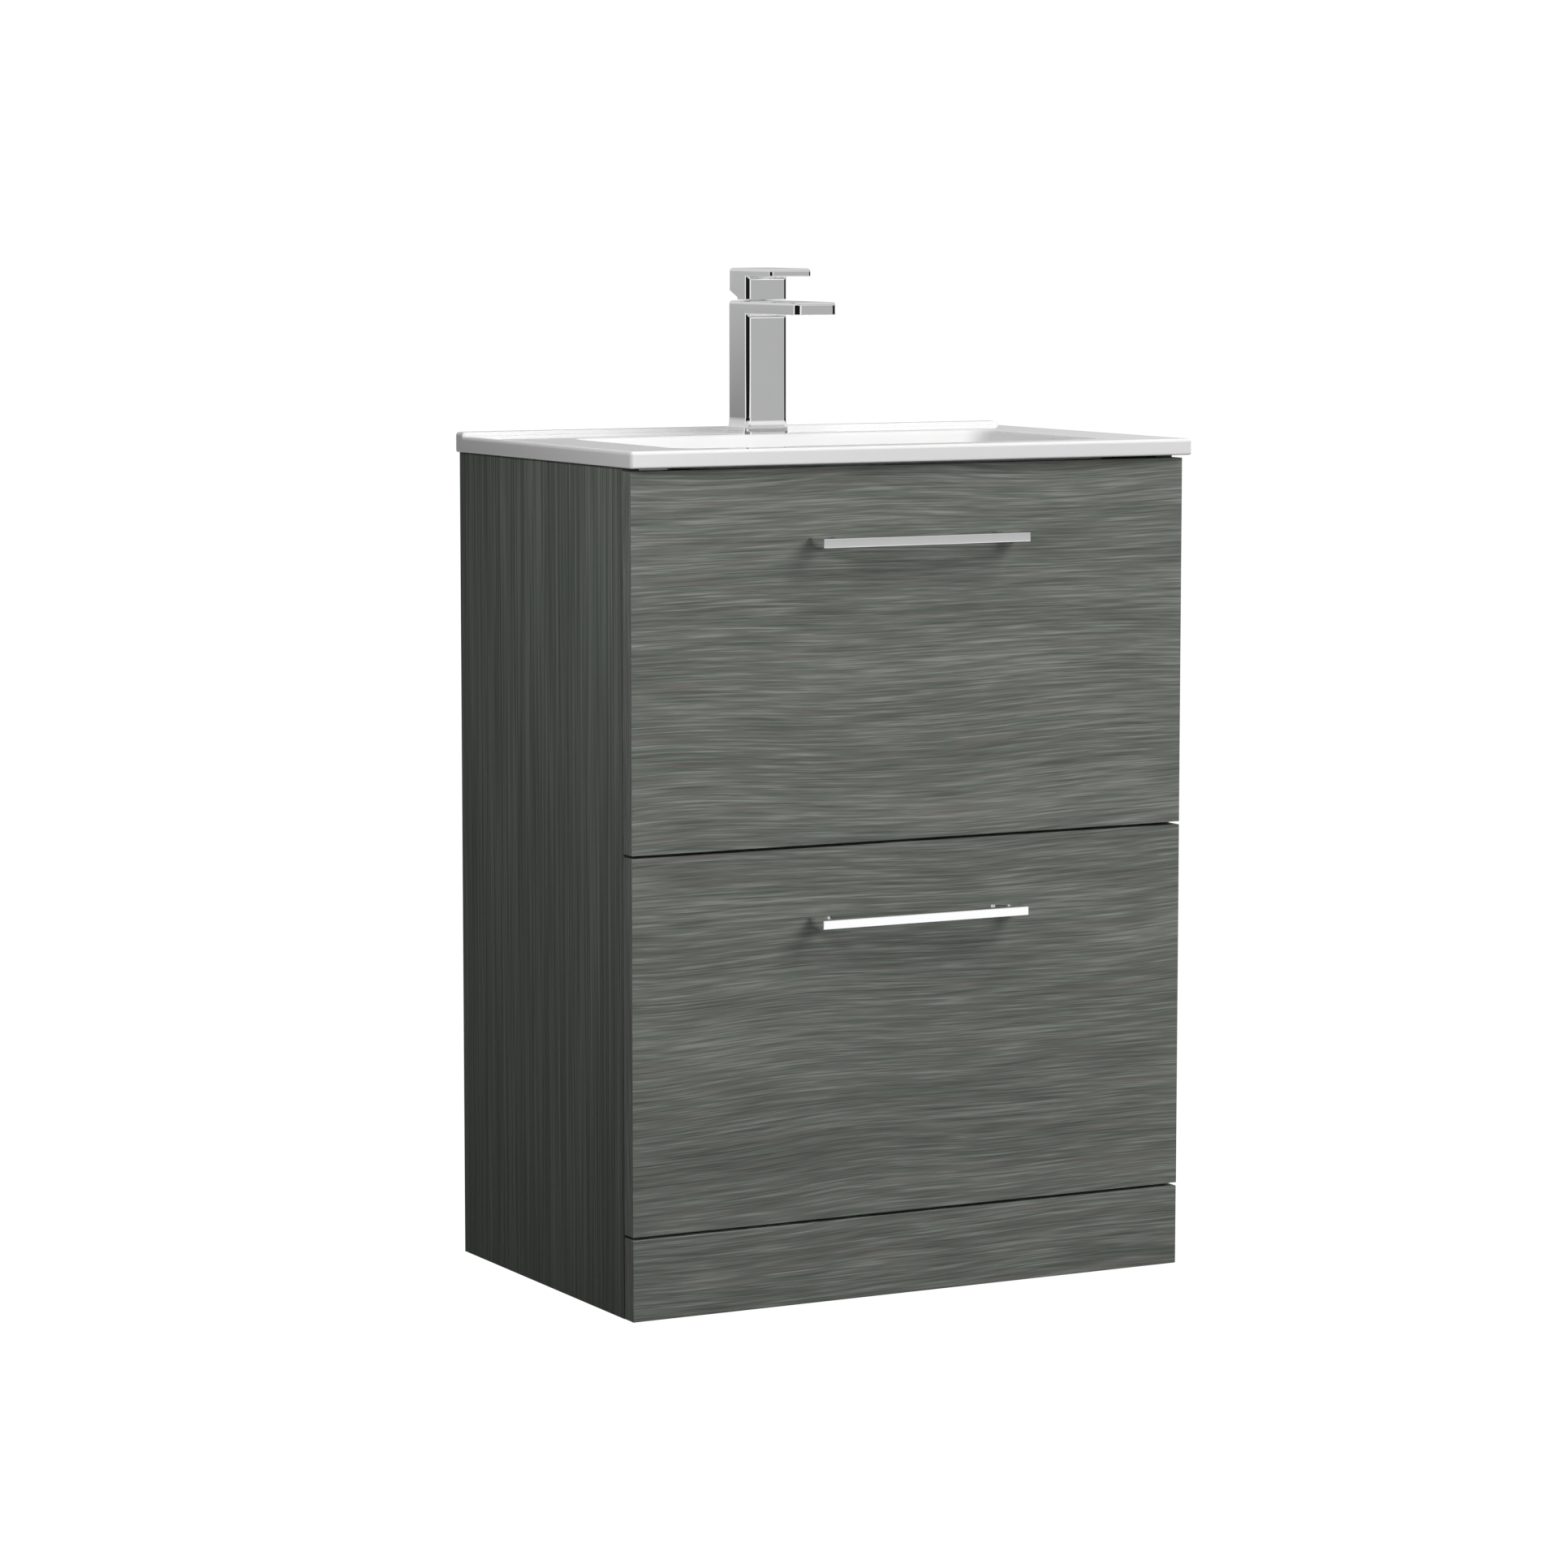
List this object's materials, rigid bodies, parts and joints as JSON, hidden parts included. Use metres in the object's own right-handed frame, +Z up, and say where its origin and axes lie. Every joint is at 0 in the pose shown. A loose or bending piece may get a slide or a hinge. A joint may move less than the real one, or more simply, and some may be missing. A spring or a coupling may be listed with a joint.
{
  "type": "bathroom vanity cabinet",
  "caption": "Floor-standing bathroom vanity with stacked drawers, bar handles, moulded basin with lever tap, waste and bottle trap.",
  "frame": {"origin": "on the floor, at the centre of the whole object seen from above", "axes": "+Z up, drawers open towards -Y, +X to the right when facing the wall"},
  "size_m": [0.61, 0.41, 0.982],
  "materials": {
    "front_laminate": "satin woodgrain laminate on chipboard, fine wavy grain",
    "side_laminate": "satin woodgrain laminate on chipboard, upright grain",
    "carcass_board": "matt grey melamine on chipboard",
    "zinc_steel": "zinc plated",
    "beech": "bare beech",
    "soft_plastic": "soft clear bumper",
    "glaze": "gloss white glaze",
    "chrome": "polished",
    "rubber_seal": "matt black",
    "brass": "turned",
    "white_plastic": "moulded, satin"
  },
  "bodies": {
    "cabinet": {"side_panel_left": "side_laminate", "side_panel_right": "side_laminate", "base_panel": "carcass_board", "plinth_board": "front_laminate", "plinth_rail": "carcass_board", "front_rail": "carcass_board", "middle_rail": "carcass_board", "back_rail_top": "carcass_board", "back_rail_bottom": "carcass_board", "cam_locks": "zinc_steel", "cam_bolts": "zinc_steel", "wooden_dowels": "beech", "wall_brackets": "zinc_steel", "bracket_screws": "zinc_steel", "front_buffers": "soft_plastic", "runner_outer_upper": "zinc_steel", "runner_outer_lower": "zinc_steel", "basin": "glaze", "tap_body": "chrome", "tap_gasket": "rubber_seal", "tap_aerator": "white_plastic", "tap_cartridge": "white_plastic", "cartridge_nut": "brass", "tap_stud": "zinc_steel", "tap_clamp": "zinc_steel", "tap_nut": "brass", "waste_body": "chrome", "waste_seal": "rubber_seal", "waste_nut": "white_plastic", "trap_inlet_nut": "white_plastic", "trap_body": "white_plastic", "trap_cup": "white_plastic", "trap_outlet_nut": "white_plastic", "trap_outlet_pipe": "white_plastic"},
    "upper_drawer": {"upper_front": "front_laminate", "upper_handle": "chrome", "upper_handle_screws": "zinc_steel", "upper_front_brackets": "zinc_steel", "upper_box_sides": "carcass_board", "upper_box_base": "carcass_board", "upper_box_back": "carcass_board", "trap_surround": "carcass_board", "runner_inner_upper": "zinc_steel"},
    "lower_drawer": {"lower_front": "front_laminate", "lower_handle": "chrome", "lower_handle_screws": "zinc_steel", "lower_front_brackets": "zinc_steel", "lower_box_sides": "carcass_board", "lower_box_base": "carcass_board", "lower_box_back": "carcass_board", "runner_inner_lower": "zinc_steel"},
    "upper_middle_members": {"runner_middle_upper": "zinc_steel"},
    "lower_middle_members": {"runner_middle_lower": "zinc_steel"},
    "spindle": {"tap_spindle": "zinc_steel", "lever_pin": "zinc_steel"},
    "lever": {"tap_lever": "chrome"},
    "plug": {"waste_plug": "chrome"}
  },
  "joints": [
    {"name": "upper_drawer_slide", "type": "slide", "parent": "cabinet", "child": "upper_drawer", "axis": [0, -1, 0], "range_m": [0, 0.29]},
    {"name": "upper_middle_slide", "type": "slide", "parent": "cabinet", "child": "upper_middle_members", "axis": [0, -1, 0], "range_m": [0, 0.145]},
    {"name": "lower_drawer_slide", "type": "slide", "parent": "cabinet", "child": "lower_drawer", "axis": [0, -1, 0], "range_m": [0, 0.29]},
    {"name": "lower_middle_slide", "type": "slide", "parent": "cabinet", "child": "lower_middle_members", "axis": [0, -1, 0], "range_m": [0, 0.145]},
    {"name": "tap_temperature", "type": "hinge", "parent": "cabinet", "child": "spindle", "pos_m": [0, 0.1435, 0.943], "axis": [0, 0, 1], "range_deg": [-45, 45]},
    {"name": "tap_flow", "type": "hinge", "parent": "spindle", "child": "lever", "pos_m": [0, 0.1435, 0.9528], "axis": [-1, 0, 0], "range_deg": [0, 22]},
    {"name": "plug_lift", "type": "slide", "parent": "cabinet", "child": "plug", "axis": [0, 0, 1], "range_m": [0, 0.006]}
  ],
  "couplings": [
    {"joint": "upper_middle_slide", "follows": "upper_drawer_slide", "ratio": 0.5},
    {"joint": "lower_middle_slide", "follows": "lower_drawer_slide", "ratio": 0.5}
  ]
}
